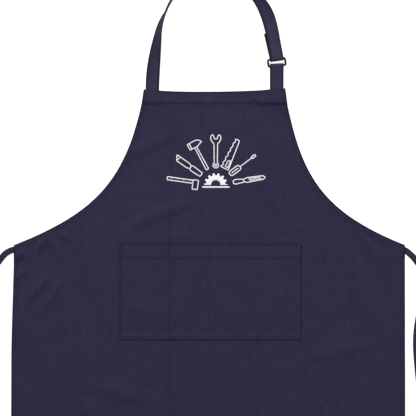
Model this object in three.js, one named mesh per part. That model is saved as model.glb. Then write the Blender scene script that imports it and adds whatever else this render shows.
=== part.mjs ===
// A bib work apron lying flat on its back face, in millimetres.
// +X runs to the right, +Y from the waist towards the neck, +Z out of the cloth's front.
// The origin is the middle of the waist line, on the underside of the cloth.
import * as THREE from "three";

// Apron body, one panel of twill
const CLOTH = 1.2;
const BIB_WIDTH = 271;
const WAIST_WIDTH = 751;
const ARMHOLE_DEPTH = 297;
const SKIRT_LENGTH = 573;
const SKIRT_FLARE = 2;
const BIB_SHIFT = 10.4;
const BIB_SAG = 3;

// Hems, folded under and stitched down: their width and how far they stand up
const BIB_HEM = 24;
const SIDE_HEM = 9;
const BOTTOM_HEM = 20;
const HEM_RISE = 0.9;
const HEM_STEP = 2;

// Clearance between two pieces that lie on each other
const GAP = 0.3;

// Patch pocket with two compartments
const POCKET_WIDTH = 348;
const POCKET_HEIGHT = 184;
const POCKET_TOP = 1.5;
const POCKET_OFFSET = 3.4;
const POCKET_HEM = 26;
const POCKET_EDGE_HEM = 10;
const POCKET_SPLIT = 0.493;
const POCKET_GAPE = 5.2;

// Straps of folded and stitched cloth
const STRAP_WIDTH = 26;
const STRAP_THICK = 1.6;
const STRAP_TUCK = 22;
const LEFT_STRAP_INSET = 29.4;
const RIGHT_STRAP_INSET = 16.2;
const NECK_RISE = 211;
const RETURN_LENGTH = 52;

// Square ring that joins the neck strap to the bib
const RING_WIDTH = 37;
const RING_HEIGHT = 17.2;
const RING_BAR = 4;
const RING_THICK = 3.2;
const RING_ABOVE_BIB = 52.5;
const RING_TILT = 6.5;

// Waist ties
const TIE_WIDTH = 12;
const TIE_THICK = 1.6;
const TIE_LENGTH = 700;
const TIE_TUCK = 22;
const TIE_REACH = 40;

// Creases left by folding and soft wrinkles
const CREASE_RISE = 2.4;
const CREASE_HALF = 14;
const WRINKLE_RISE = 3;

const degrees = (angle) => (angle * Math.PI) / 180;
const clamp = (value) => Math.min(1, Math.max(0, value));
const smooth = (value) => clamp(value) ** 2 * (3 - 2 * clamp(value));
const mix = (a, b, share) => a + (b - a) * share;
const HALF_WAIST = WAIST_WIDTH / 2;

// A closed sheet: a box divided by rows and columns whose corners are placed one by one.
// place(column, row, side) gives the point, where side is 0 underneath and 1 on top.
function sheet(columnCount, rowCount, place) {
  const geometry = new THREE.BoxGeometry(1, 1, 1, columnCount - 1, rowCount - 1, 1);
  const points = geometry.getAttribute("position");
  for (let i = 0; i < points.count; i += 1) {
    const column = Math.round((points.getX(i) + 0.5) * (columnCount - 1));
    const row = Math.round((points.getY(i) + 0.5) * (rowCount - 1));
    const side = points.getZ(i) > 0 ? 1 : 0;
    points.setXYZ(i, ...place(column, row, side));
  }
  geometry.computeVertexNormals();
  return geometry;
}

// Values from first to last, no more than step apart, without the first one.
function onward(first, last, step) {
  const count = Math.max(1, Math.ceil(Math.abs(last - first) / step));
  return Array.from({ length: count }, (_, i) => mix(first, last, (i + 1) / count));
}

// A table of lines, filled up so that no two neighbours are more than step apart.
function filled(lines, step) {
  const sorted = [...lines].sort((a, b) => a - b);
  return sorted.reduce(
    (all, line) => (all.length ? [...all, ...onward(all.at(-1), line, step)] : [line]),
    [],
  );
}

// 1 within half of the centre, falling smoothly to 0 over the ramp.
const plateau = (distance, half, ramp) => 1 - smooth((Math.abs(distance) - half) / ramp);

// How far the bib lies to the right of the skirt at a height.
const bibShift = (y) => BIB_SHIFT * (1 - (1 - clamp(y / ARMHOLE_DEPTH)) ** 2);

// Where the straps and ties are sewn on
const leftStrapX = bibShift(ARMHOLE_DEPTH) - BIB_WIDTH / 2 + LEFT_STRAP_INSET - STRAP_WIDTH / 2;
const rightStrapX = bibShift(ARMHOLE_DEPTH) + BIB_WIDTH / 2 - RIGHT_STRAP_INSET;
const tieY = -TIE_WIDTH * 0.75;
const layerHeight = STRAP_THICK + GAP + 0.1;

// Packing creases that run straight down the apron.
// at: share of half the waist width; rise: share of CREASE_RISE;
// top: share of the armhole depth that the crease reaches up to.
const CREASES = [
  { at: -0.652, rise: 0.8, top: 0.2 },
  { at: -0.2, rise: 1, top: 0.98 },
  { at: 0.256, rise: 0.7, top: 0.98 },
  { at: 0.73, rise: 0.8, top: 0.12 },
];

// Soft wrinkles. x: share of half the waist width; y: share of the armhole depth above the
// waist, of the skirt length below it; length and width: shares of half the waist width;
// turn: degrees from +X; rise: share of WRINKLE_RISE.
const WRINKLES = [
  { x: -0.33, y: 0.64, length: 0.2, width: 0.07, turn: 28, rise: 0.8 },
  { x: -0.26, y: 0.2, length: 0.26, width: 0.075, turn: 22, rise: 1 },
  { x: 0.3, y: 0.36, length: 0.2, width: 0.07, turn: -58, rise: 0.6 },
  { x: 0.02, y: 0.76, length: 0.16, width: 0.06, turn: 84, rise: 0.5 },
  { x: -0.9, y: -0.15, length: 0.14, width: 0.07, turn: 34, rise: 1 },
  { x: -0.8, y: -0.05, length: 0.16, width: 0.06, turn: 62, rise: 0.8 },
  { x: 0.88, y: -0.12, length: 0.2, width: 0.065, turn: -74, rise: 1 },
  { x: 0.6, y: -0.62, length: 0.3, width: 0.08, turn: 12, rise: 0.8 },
  { x: -0.45, y: -0.7, length: 0.32, width: 0.08, turn: -14, rise: 0.8 },
];

// The pocket's outline on the panel
const pocket = {
  left: POCKET_OFFSET - POCKET_WIDTH / 2,
  right: POCKET_OFFSET + POCKET_WIDTH / 2,
  top: POCKET_TOP,
  bottom: POCKET_TOP - POCKET_HEIGHT,
};
pocket.split = mix(pocket.left, pocket.right, POCKET_SPLIT);

// 0 under the pocket, where the panel lies flat, and 1 well clear of it.
function besidePocket(x, y) {
  const outX = Math.max(pocket.left - x, x - pocket.right, 0);
  const outY = Math.max(pocket.bottom - y, y - pocket.top, 0);
  return smooth((Math.hypot(outX, outY) - 6) / 24);
}

const creaseProfile = (distance) => Math.max(0, 1 - (distance / CREASE_HALF) ** 2) ** 2;

function creaseHeight(x, y) {
  return CREASES.reduce((height, crease) => {
    const fade = 1 - smooth((y / ARMHOLE_DEPTH - crease.top) / 0.2 + 1);
    return height + crease.rise * CREASE_RISE * creaseProfile(x - crease.at * HALF_WAIST) * fade;
  }, 0);
}

function wrinkleHeight(x, y) {
  return WRINKLES.reduce((height, fold) => {
    const turn = degrees(fold.turn);
    const dx = x - fold.x * HALF_WAIST;
    const dy = y - fold.y * (fold.y > 0 ? ARMHOLE_DEPTH : SKIRT_LENGTH);
    const along = (dx * Math.cos(turn) + dy * Math.sin(turn)) / (fold.length * HALF_WAIST);
    const across = (dy * Math.cos(turn) - dx * Math.sin(turn)) / (fold.width * HALF_WAIST);
    const inside = Math.max(0, 1 - along ** 2 - across ** 2);
    return height + fold.rise * WRINKLE_RISE * inside ** 2;
  }, 0);
}

// The cloth rides over what is sewn under its corners.
function liftHeight(x, y) {
  const underBib = plateau(ARMHOLE_DEPTH - y, STRAP_TUCK + 6, 28);
  const overStrap = plateau(x - leftStrapX, STRAP_WIDTH / 2 + 5, 22);
  const overDouble = plateau(x - rightStrapX, STRAP_WIDTH / 2 + 7, 24);
  const overTie =
    plateau(HALF_WAIST - TIE_TUCK / 2 - Math.abs(x), TIE_TUCK / 2 + 20, 26) *
    plateau(y - tieY, TIE_WIDTH / 2 + 13, 24);
  return (
    underBib * (overStrap * (STRAP_THICK + GAP) + overDouble * (layerHeight + STRAP_THICK + GAP)) +
    overTie * (TIE_THICK + GAP)
  );
}

// Height of the panel's underside above what it lies on.
const relief = (x, y) =>
  besidePocket(x, y) * (creaseHeight(x, y) + wrinkleHeight(x, y)) + liftHeight(x, y);

// Outline of the right half: the armhole's curve, then the straight side of the skirt.
const ARMHOLE = { bibHandle: 0.578, bibLean: 9.46, waistHandle: 0.57, waistSlope: 21.43 };
const armhole = new THREE.CubicBezierCurve(
  new THREE.Vector2(BIB_WIDTH / 2, ARMHOLE_DEPTH),
  new THREE.Vector2(
    BIB_WIDTH / 2 + ARMHOLE_DEPTH * ARMHOLE.bibHandle * Math.sin(degrees(ARMHOLE.bibLean)),
    ARMHOLE_DEPTH * (1 - ARMHOLE.bibHandle * Math.cos(degrees(ARMHOLE.bibLean))),
  ),
  new THREE.Vector2(
    HALF_WAIST - ARMHOLE_DEPTH * ARMHOLE.waistHandle * Math.cos(degrees(ARMHOLE.waistSlope)),
    ARMHOLE_DEPTH * ARMHOLE.waistHandle * Math.sin(degrees(ARMHOLE.waistSlope)),
  ),
  new THREE.Vector2(HALF_WAIST, 0),
);

// The point of the armhole at a depth below the bib's top edge.
function armholeAt(depth) {
  let [low, high] = [0, 1];
  for (let i = 0; i < 40; i += 1) {
    const middle = (low + high) / 2;
    if (ARMHOLE_DEPTH - armhole.getPoint(middle).y < depth) low = middle;
    else high = middle;
  }
  return armhole.getPoint(low);
}

// The side's points from the bottom hem up to the bib's top edge.
// A level row keeps its height right across, so the hem lines of the ends stay straight.
const GRID = 28;
const skirtHalf = (y) => HALF_WAIST + (SKIRT_FLARE / 2) * clamp(-y / SKIRT_LENGTH);
const skirtRows = [
  0,
  BOTTOM_HEM,
  BOTTOM_HEM + HEM_STEP,
  ...onward(BOTTOM_HEM + HEM_STEP, SKIRT_LENGTH - 2.2 * TIE_WIDTH, GRID),
  SKIRT_LENGTH - TIE_WIDTH,
];
const bibRows = [BIB_HEM + HEM_STEP, BIB_HEM, 0];
const hemShare = armhole.getLength() - bibRows[0];
const armRows = onward(0, hemShare, GRID * 0.9).slice(0, -1);
const side = [
  ...skirtRows.map((up, i) => ({
    point: new THREE.Vector2(skirtHalf(up - SKIRT_LENGTH), up - SKIRT_LENGTH),
    level: i < 3,
  })),
  { point: new THREE.Vector2(HALF_WAIST, 0), level: false },
  ...armRows.map((along) => ({
    point: armhole.getPointAt(1 - along / armhole.getLength()),
    level: false,
  })),
  ...bibRows.map((depth) => ({ point: armholeAt(depth), level: true })),
];

// The side's point moved into the cloth by a hem's width, mitred at the corners.
function inset(row, width) {
  const { point, level } = side[row];
  const before = side[Math.max(row - 1, 0)].point;
  const after = side[Math.min(row + 1, side.length - 1)].point;
  const into = (from, to) => {
    const way = to.clone().sub(from).normalize();
    return new THREE.Vector2(-way.y, way.x);
  };
  const lower = into(before.equals(point) ? point : before, before.equals(point) ? after : point);
  const upper = into(after.equals(point) ? before : point, after.equals(point) ? point : after);
  const middle = lower.clone().add(upper).normalize();
  if (level) return new THREE.Vector2(point.x + width / middle.x, point.y);
  return point.clone().addScaledVector(middle, width / middle.dot(lower));
}

// Columns of the panel at the waist: both edges, the creases and lines between them.
// Those between the two core lines run straight up; the others draw in with the armholes.
const INNER = SIDE_HEM + HEM_STEP;
const core = { left: -0.245 * HALF_WAIST, right: 0.3 * HALF_WAIST };
const creaseLines = CREASES.flatMap(({ at }) =>
  [-CREASE_HALF, 0, CREASE_HALF].map((beside) => at * HALF_WAIST + beside),
);
const tieLine = HALF_WAIST - TIE_TUCK - 5;
const innerLines = filled(
  [INNER - HALF_WAIST, -tieLine, core.left, ...creaseLines, core.right, tieLine, HALF_WAIST - INNER],
  GRID,
);
const columnCount = innerLines.length + 4;

function panelPoint(column, row, sideFace) {
  const fromLeft = column;
  const fromRight = columnCount - 1 - column;
  const nearest = Math.min(fromLeft, fromRight);
  const sign = fromLeft < fromRight ? -1 : 1;
  const inner = inset(row, INNER);
  let flat;
  if (nearest < 2) {
    const edge = nearest === 0 ? side[row].point : inset(row, SIDE_HEM);
    flat = new THREE.Vector2(sign * edge.x + bibShift(edge.y), edge.y);
  } else {
    const line = innerLines[column - 2];
    const shift = bibShift(inner.y);
    let x = line;
    if (line > core.right) {
      const reach = (line - core.right) / (HALF_WAIST - INNER - core.right);
      x = mix(core.right, inner.x + shift, reach);
    }
    if (line < core.left) {
      const reach = (core.left - line) / (HALF_WAIST - INNER + core.left);
      x = mix(core.left, shift - inner.x, reach);
    }
    flat = new THREE.Vector2(x, inner.y);
  }
  const inHem = nearest < 2 || row < 2 || row > side.length - 3;
  const high = relief(flat.x, flat.y);
  const half = BIB_WIDTH / 2;
  const sag = clamp(1 - ((flat.x - bibShift(flat.y)) / half) ** 2) * BIB_SAG;
  const y = flat.y - sag * smooth(flat.y / ARMHOLE_DEPTH - 0.05);
  return [flat.x, y, high + sideFace * (CLOTH + (inHem ? HEM_RISE : 0))];
}

// Pocket patch: sewn down round three sides and along the split, standing open above.
const SEAM_RAMP = 19;
const pocketCreases = creaseLines.filter((x) => x > pocket.left && x < pocket.right);
const pocketColumns = filled(
  [
    pocket.left,
    pocket.left + POCKET_EDGE_HEM,
    pocket.left + POCKET_EDGE_HEM + HEM_STEP,
    pocket.left + SEAM_RAMP,
    pocket.split - SEAM_RAMP,
    pocket.split - SEAM_RAMP / 2,
    pocket.split - HEM_STEP,
    pocket.split + HEM_STEP,
    pocket.split + SEAM_RAMP / 2,
    pocket.split + SEAM_RAMP,
    ...pocketCreases,
    pocket.right - SEAM_RAMP,
    pocket.right - POCKET_EDGE_HEM - HEM_STEP,
    pocket.right - POCKET_EDGE_HEM,
    pocket.right,
  ],
  GRID,
);
const pocketRows = filled(
  [
    pocket.bottom,
    pocket.bottom + POCKET_EDGE_HEM,
    pocket.bottom + POCKET_EDGE_HEM + HEM_STEP,
    pocket.bottom + SEAM_RAMP,
    pocket.bottom + 2 * SEAM_RAMP,
    pocket.top - POCKET_HEM - HEM_STEP,
    pocket.top - POCKET_HEM,
    pocket.top,
  ],
  GRID,
);

function pocketPoint(column, row, sideFace) {
  const x = pocketColumns[column];
  const y = pocketRows[row];
  const fromSide = Math.min(x - pocket.left, pocket.right - x);
  const fromSplit = Math.abs(x - pocket.split) - HEM_STEP;
  const open =
    smooth(Math.min(fromSide, fromSplit) / (SEAM_RAMP - HEM_STEP)) *
    smooth((y - pocket.bottom) / (2 * SEAM_RAMP));
  const fromEdge = Math.min(fromSide, y - pocket.bottom);
  const inHem = fromEdge < POCKET_EDGE_HEM + 1 || pocket.top - y < POCKET_HEM + 1;
  const z = CLOTH + GAP + open * POCKET_GAPE + open * 0.6 * creaseHeight(x, y);
  return [x, y, z + sideFace * (CLOTH + (inHem ? HEM_RISE : 0))];
}

// A flat strap bent along stations. Each station has the place of one edge, the direction
// across to the other edge and the direction that its face looks in.
function ribbon(stations, width, thick) {
  const columns = [0, 0.5, 1];
  return sheet(stations.length, columns.length, (station, column, sideFace) => {
    const { edge, across, face } = stations[station];
    return edge
      .clone()
      .addScaledVector(across, width * columns[column])
      .addScaledVector(face, thick * sideFace)
      .toArray();
  });
}

const UP = new THREE.Vector3(0, 0, 1);
const flatVector = (x, y) => new THREE.Vector3(x, y, 0);

// A station of a strap that stands on one edge: roll lifts its other edge off the floor.
function rolled(foot, outward, roll, height) {
  return {
    edge: foot.clone().setZ(height),
    across: outward.clone().multiplyScalar(Math.cos(roll)).addScaledVector(UP, Math.sin(roll)),
    face: outward.clone().multiplyScalar(-Math.sin(roll)).addScaledVector(UP, Math.cos(roll)),
  };
}

// Stations round a bar: centre is the bar's middle under the strap's edge, ahead is the way
// that the fold looks in.
const FOLD_STEPS = 6;
const barCorner = Math.hypot(RING_BAR / 2, RING_THICK / 4);
const foldRadius = barCorner + GAP;
const barHeight = STRAP_THICK + foldRadius;
function folded(centre, ahead, across) {
  return Array.from({ length: FOLD_STEPS + 1 }, (_, i) => {
    const angle = Math.PI * (0.5 - i / FOLD_STEPS);
    const face = ahead.clone().multiplyScalar(Math.cos(angle)).addScaledVector(UP, Math.sin(angle));
    return { edge: centre.clone().addScaledVector(face, foldRadius), across, face };
  });
}

// Ring, and the middles of its two long bars
const ringTurn = degrees(RING_TILT);
const ringCentre = flatVector(rightStrapX, ARMHOLE_DEPTH + RING_ABOVE_BIB);
const ringAlong = flatVector(Math.cos(ringTurn), Math.sin(ringTurn));
const barOffset = (RING_HEIGHT - RING_BAR) / 2;
const barLine = (x, upper) => {
  const middle = ringCentre
    .clone()
    .addScaledVector(flatVector(-ringAlong.y, ringAlong.x), upper ? barOffset : -barOffset);
  return middle.y + (x - middle.x) * Math.tan(ringTurn);
};

function roundedRectangle(target, width, height, radius) {
  const [x, y] = [width / 2, height / 2];
  target.moveTo(x - radius, -y);
  target.absarc(x - radius, radius - y, radius, -Math.PI / 2, 0);
  target.absarc(x - radius, y - radius, radius, 0, Math.PI / 2);
  target.absarc(radius - x, y - radius, radius, Math.PI / 2, Math.PI);
  target.absarc(radius - x, radius - y, radius, Math.PI, Math.PI * 1.5);
  return target;
}

const RING_CORNER = 4.6;
const ringBevel = RING_THICK / 4;
const ringShape = roundedRectangle(
  new THREE.Shape(),
  RING_WIDTH - 2 * ringBevel,
  RING_HEIGHT - 2 * ringBevel,
  RING_CORNER - ringBevel,
);
ringShape.holes.push(
  roundedRectangle(
    new THREE.Path(),
    RING_WIDTH - 2 * RING_BAR + 2 * ringBevel,
    RING_HEIGHT - 2 * RING_BAR + 2 * ringBevel,
    RING_CORNER - RING_BAR + ringBevel,
  ),
);
const ringGeometry = new THREE.ExtrudeGeometry(ringShape, {
  depth: RING_THICK - 2 * ringBevel,
  bevelThickness: ringBevel,
  bevelSize: ringBevel,
  bevelSegments: 1,
  curveSegments: 4,
}).translate(0, 0, ringBevel - RING_THICK / 2);

// Ring strap: one short strap folded over the ring's lower bar, both ends under the bib hem.
const RING_STRAP_SKEW = 2.5;
const strapSlope = 22;
function ringStrapStations() {
  const right = rightStrapX + STRAP_WIDTH / 2;
  const foldY = barLine(right, false);
  const end = ARMHOLE_DEPTH - STRAP_TUCK;
  const across = flatVector(-1, 0);
  const skewed = flatVector(-Math.cos(degrees(RING_STRAP_SKEW)), -Math.sin(degrees(RING_STRAP_SKEW)));
  const rows = [end, ...onward(end, foldY - 1, 6)];
  const upper = rows.map((y) => {
    const rise = 1 - smooth((foldY - y) / strapSlope);
    return {
      edge: new THREE.Vector3(right, y, mix(layerHeight, STRAP_THICK + 2 * foldRadius, rise)),
      across: across.clone().lerp(skewed, rise).normalize(),
      face: UP,
    };
  });
  const fold = folded(new THREE.Vector3(right, foldY, barHeight), flatVector(0, 1), skewed);
  const lower = rows.toReversed().map((y) => ({
    edge: new THREE.Vector3(right, y, STRAP_THICK),
    across: across.clone().lerp(skewed, 1 - smooth((foldY - y) / strapSlope)).normalize(),
    face: UP.clone().negate(),
  }));
  return [...upper, ...fold, ...lower];
}

// Neck strap: from under the left of the bib hem, round the neck standing on its edge, flat
// again down to the ring, over its upper bar and back underneath itself.
const STRAP_LEAN = 10;
const RETURN_LEAN = 13;
const FOLD_LEAN = 8;
const CROWN_FLAT = 20;
const LEFT_LEAN = 4.2;
const ROLL_START = 13;
const ROLL_LENGTH = 133;
const UNROLL_LENGTH = 120;
const ARCH_BASE = 105;
const ARCH_ROUND = 0.56;
const lean = (angle) => flatVector(-Math.sin(degrees(angle)), Math.cos(degrees(angle)));
const outwardOf = (angle) => flatVector(Math.cos(degrees(angle)), Math.sin(degrees(angle)));

function neckStrapStations() {
  const leftFoot = leftStrapX + STRAP_WIDTH / 2;
  const foldAcross = outwardOf(FOLD_LEAN);
  const foldRight = rightStrapX + STRAP_WIDTH / 2;
  const foldLeft = foldRight - STRAP_WIDTH * foldAcross.x;
  const foldFoot = flatVector(foldLeft, barLine(foldRight, true) - STRAP_WIDTH * foldAcross.y);
  const archY = ARMHOLE_DEPTH + ARCH_BASE;
  const crownY = ARMHOLE_DEPTH + NECK_RISE;
  const climb = (archY - foldFoot.y) / Math.cos(degrees(STRAP_LEAN));
  const bend = {
    left: flatVector(leftFoot + LEFT_LEAN, archY),
    right: foldFoot.clone().addScaledVector(lean(STRAP_LEAN), climb),
  };
  const crownX = (bend.left.x + bend.right.x) / 2;
  const crown = {
    left: flatVector(crownX - CROWN_FLAT / 2, crownY),
    right: flatVector(crownX + CROWN_FLAT / 2, crownY),
  };
  const handle = {
    up: (crownY - archY) * ARCH_ROUND,
    across: (bend.right.x - bend.left.x - CROWN_FLAT) * 0.5 * ARCH_ROUND,
  };
  const start = flatVector(leftFoot, ARMHOLE_DEPTH - STRAP_TUCK);
  const free = flatVector(leftFoot, ARMHOLE_DEPTH);
  const third = (archY - ARMHOLE_DEPTH) / 3;
  const pieces = [
    { curve: new THREE.LineCurve3(start, free), steps: 2 },
    {
      curve: new THREE.CubicBezierCurve3(
        free,
        flatVector(free.x + LEFT_LEAN * 0.2, free.y + third),
        flatVector(bend.left.x - LEFT_LEAN * 0.2, archY - third),
        bend.left,
      ),
      steps: 11,
    },
    {
      curve: new THREE.CubicBezierCurve3(
        bend.left,
        flatVector(bend.left.x + LEFT_LEAN * 0.4, archY + handle.up),
        flatVector(crown.left.x - handle.across, crownY),
        crown.left,
      ),
      steps: 13,
    },
    { curve: new THREE.LineCurve3(crown.left, crown.right), steps: 1 },
    {
      curve: new THREE.CubicBezierCurve3(
        crown.right,
        flatVector(crown.right.x + handle.across, crownY),
        bend.right.clone().addScaledVector(lean(STRAP_LEAN), handle.up),
        bend.right,
      ),
      steps: 13,
    },
    { curve: new THREE.LineCurve3(bend.right, foldFoot), steps: 8 },
  ];
  const total = pieces.reduce((sum, { curve }) => sum + curve.getLength(), 0);
  const rollFrom = STRAP_TUCK + ROLL_START;
  const unrollTo = total - climb - 4;
  const sitFrom = total - RETURN_LENGTH - 4;
  let travelled = 0;
  const stations = [];
  pieces.forEach(({ curve, steps }, index) => {
    const length = curve.getLength();
    for (let i = index === 0 ? 0 : 1; i <= steps; i += 1) {
      const way = curve.getTangentAt(i / steps);
      const along = travelled + (length * i) / steps;
      const toFold = total - along;
      const roll =
        degrees(90) *
        clamp((along - rollFrom) / ROLL_LENGTH) *
        smooth((unrollTo - along) / UNROLL_LENGTH);
      const overReturn = smooth((along - sitFrom + 12) / 12) * layerHeight;
      const overBar = 1 - smooth(toFold / strapSlope);
      const height = mix(overReturn, STRAP_THICK + 2 * foldRadius, overBar);
      const outward = flatVector(-way.y, way.x).lerp(foldAcross, overBar).normalize();
      stations.push(rolled(curve.getPointAt(i / steps), outward, roll, height));
    }
    travelled += length;
  });
  const fold = folded(foldFoot.clone().setZ(barHeight), lean(FOLD_LEAN).negate(), foldAcross);
  const back = onward(0, RETURN_LENGTH, 8).map((along) => ({
    edge: foldFoot.clone().addScaledVector(lean(RETURN_LEAN), along).setZ(STRAP_THICK),
    across: foldAcross.clone().lerp(outwardOf(RETURN_LEAN), clamp(along / 20)).normalize(),
    face: UP.clone().negate(),
  }));
  return [...stations, ...fold.slice(1), ...back];
}

// Routes of the waist ties over the floor.
// out: share of TIE_REACH beyond the panel's side; down: share of TIE_LENGTH below the waist.
const RIGHT_TIE = [
  { out: -0.56, down: 0.013 },
  { out: -0.02, down: 0.014 },
  { out: 0.27, down: 0.026 },
  { out: 0.55, down: 0.043 },
  { out: 0.78, down: 0.064 },
  { out: 0.92, down: 0.092 },
  { out: 0.92, down: 0.124 },
  { out: 0.8, down: 0.162 },
  { out: 0.66, down: 0.2 },
  { out: 0.56, down: 0.24 },
  { out: 0.54, down: 0.275 },
  { out: 0.6, down: 0.33 },
  { out: 0.78, down: 0.43 },
  { out: 0.92, down: 0.55 },
  { out: 0.8, down: 0.7 },
  { out: 0.6, down: 0.85 },
  { out: 0.7, down: 1 },
];
const LEFT_TIE = [
  { out: -0.56, down: 0.013 },
  { out: -0.02, down: 0.013 },
  { out: 0.33, down: 0.022 },
  { out: 0.63, down: 0.04 },
  { out: 0.87, down: 0.061 },
  { out: 1.02, down: 0.09 },
  { out: 1.06, down: 0.124 },
  { out: 1.02, down: 0.178 },
  { out: 0.93, down: 0.26 },
  { out: 0.88, down: 0.37 },
  { out: 0.98, down: 0.5 },
  { out: 1.04, down: 0.62 },
  { out: 0.9, down: 0.76 },
  { out: 0.72, down: 0.88 },
  { out: 0.76, down: 1 },
];
const TIE_ROLL = 35;
const TIE_STEPS = 46;

function tieStations(route, hand) {
  const curve = new THREE.CatmullRomCurve3(
    route.map(({ out, down }) => flatVector(HALF_WAIST + out * TIE_REACH, -down * TIE_LENGTH)),
    false,
    "centripetal",
  );
  curve.arcLengthDivisions = 1000;
  const whole = curve.getLength();
  const stations = Array.from({ length: TIE_STEPS + 1 }, (_, i) => {
    const along = TIE_LENGTH * (i / TIE_STEPS) ** 1.25;
    const middle = curve.getPointAt(along / whole);
    const way = curve.getTangentAt(along / whole);
    const outward = flatVector(-way.y, way.x);
    const roll = degrees(TIE_ROLL) * plateau(along - 0.13 * TIE_LENGTH, 0.03 * TIE_LENGTH, 0.06 * TIE_LENGTH);
    const foot = middle.addScaledVector(outward, -TIE_WIDTH / 2);
    return rolled(foot, outward, roll, 0);
  });
  if (hand > 0) return stations;
  // The left tie is the mirror image, taken across from its other edge so that it faces up.
  const mirrored = (vector) => vector.clone().setX(-vector.x);
  return stations.map(({ edge, across, face }) => ({
    edge: mirrored(edge.clone().addScaledVector(across, TIE_WIDTH)),
    across: mirrored(across).negate(),
    face: mirrored(face),
  }));
}

// Materials
const twill = new THREE.MeshStandardMaterial({ color: "#302e44", roughness: 0.9, metalness: 0 });
const strapCloth = new THREE.MeshStandardMaterial({ color: "#38364d", roughness: 0.88, metalness: 0 });
const blackPlastic = new THREE.MeshStandardMaterial({ color: "#141414", roughness: 0.4, metalness: 0 });

function piece(name, geometry, material) {
  const mesh = new THREE.Mesh(geometry, material);
  mesh.name = name;
  return mesh;
}

const apron = new THREE.Group();
apron.add(piece("apron_body", sheet(columnCount, side.length, panelPoint), twill));
apron.add(
  piece("pocket_patch", sheet(pocketColumns.length, pocketRows.length, pocketPoint), twill),
);
apron.add(piece("neck_strap", ribbon(neckStrapStations(), STRAP_WIDTH, STRAP_THICK), strapCloth));
apron.add(piece("ring_strap", ribbon(ringStrapStations(), STRAP_WIDTH, STRAP_THICK), strapCloth));

const ring = piece("strap_ring", ringGeometry, blackPlastic);
ring.position.copy(ringCentre).setZ(barHeight);
ring.rotation.z = ringTurn;
apron.add(ring);

apron.add(piece("waist_tie_left", ribbon(tieStations(LEFT_TIE, -1), TIE_WIDTH, TIE_THICK), strapCloth));
apron.add(piece("waist_tie_right", ribbon(tieStations(RIGHT_TIE, 1), TIE_WIDTH, TIE_THICK), strapCloth));

export default apron;
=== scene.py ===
import math

import bmesh
import bpy
from mathutils import Matrix, Vector, noise
from mathutils.bvhtree import BVHTree


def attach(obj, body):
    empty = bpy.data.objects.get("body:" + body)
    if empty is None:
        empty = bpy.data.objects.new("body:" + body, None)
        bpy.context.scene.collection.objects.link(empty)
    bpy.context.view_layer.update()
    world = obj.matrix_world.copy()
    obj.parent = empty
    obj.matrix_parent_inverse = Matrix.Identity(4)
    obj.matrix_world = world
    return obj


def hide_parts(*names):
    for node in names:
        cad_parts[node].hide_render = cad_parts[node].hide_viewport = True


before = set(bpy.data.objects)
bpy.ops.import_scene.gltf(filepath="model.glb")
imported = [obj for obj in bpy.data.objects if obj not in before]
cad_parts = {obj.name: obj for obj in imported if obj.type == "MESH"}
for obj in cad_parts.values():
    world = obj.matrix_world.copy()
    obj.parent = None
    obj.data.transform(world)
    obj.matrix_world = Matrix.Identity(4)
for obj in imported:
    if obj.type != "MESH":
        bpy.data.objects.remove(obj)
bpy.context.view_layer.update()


# Table top, camera and lamps
# The apron lies on a white light table under a camera that looks straight down, in soft
# daylight with one lamp beyond its top edge and a weaker one on the right.
MM = 0.001
PIXEL = 1.918 * MM
FRAME_PIXELS = 416
WAIST_AT_PIXEL = (209.0, 245.0)
CAMERA_HEIGHT = 1.884
LENS = 85.0
DAYLIGHT = (0.97, 0.98, 1.0, 1)
DAYLIGHT_STRENGTH = 0.47
TABLE_GREY = (0.4, 0.4, 0.4, 1)
TABLE_GLOW = 0.86
TABLE_SIDE = 80
TABLE_DROP = 0.4 * MM

view_centre = (
    (FRAME_PIXELS / 2 - WAIST_AT_PIXEL[0]) * PIXEL,
    (WAIST_AT_PIXEL[1] - FRAME_PIXELS / 2) * PIXEL,
)
camera = bpy.data.objects.new("camera", bpy.data.cameras.new("camera"))
camera.data.lens = LENS
camera.data.sensor_width = LENS * FRAME_PIXELS * PIXEL / CAMERA_HEIGHT
camera.location = (*view_centre, CAMERA_HEIGHT)
bpy.context.scene.collection.objects.link(camera)
bpy.context.scene.camera = camera


def lamp(name, place, size, power):
    """A square lamp that points at the middle of the waist."""
    light = bpy.data.lights.new(name, "AREA")
    light.size = size
    light.energy = power
    thing = bpy.data.objects.new(name, light)
    thing.location = place
    thing.rotation_mode = "QUATERNION"
    thing.rotation_quaternion = (-Vector(place)).to_track_quat("-Z", "Y")
    bpy.context.scene.collection.objects.link(thing)


lamp("key_lamp", place=(-1.6, 2.4, 1.9), size=0.5, power=92)
lamp("fill_lamp", place=(2.9, 0.6, 1.5), size=0.9, power=40)

world = bpy.data.worlds.new("daylight")
world.use_nodes = True
daylight = world.node_tree.nodes["Background"]
daylight.inputs["Color"].default_value = DAYLIGHT
daylight.inputs["Strength"].default_value = DAYLIGHT_STRENGTH
bpy.context.scene.world = world
bpy.context.scene.view_settings.view_transform = "Standard"


class Signal:
    """A socket in a material. Arithmetic on it adds the Math nodes that work it out."""

    def __init__(self, finish, socket):
        self.finish = finish
        self.socket = socket

    def __add__(self, other):
        return self.finish.maths("ADD", self, other)

    def __radd__(self, other):
        return self.finish.maths("ADD", other, self)

    def __sub__(self, other):
        return self.finish.maths("SUBTRACT", self, other)

    def __rsub__(self, other):
        return self.finish.maths("SUBTRACT", other, self)

    def __mul__(self, other):
        return self.finish.maths("MULTIPLY", self, other)

    def __rmul__(self, other):
        return self.finish.maths("MULTIPLY", other, self)


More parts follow.
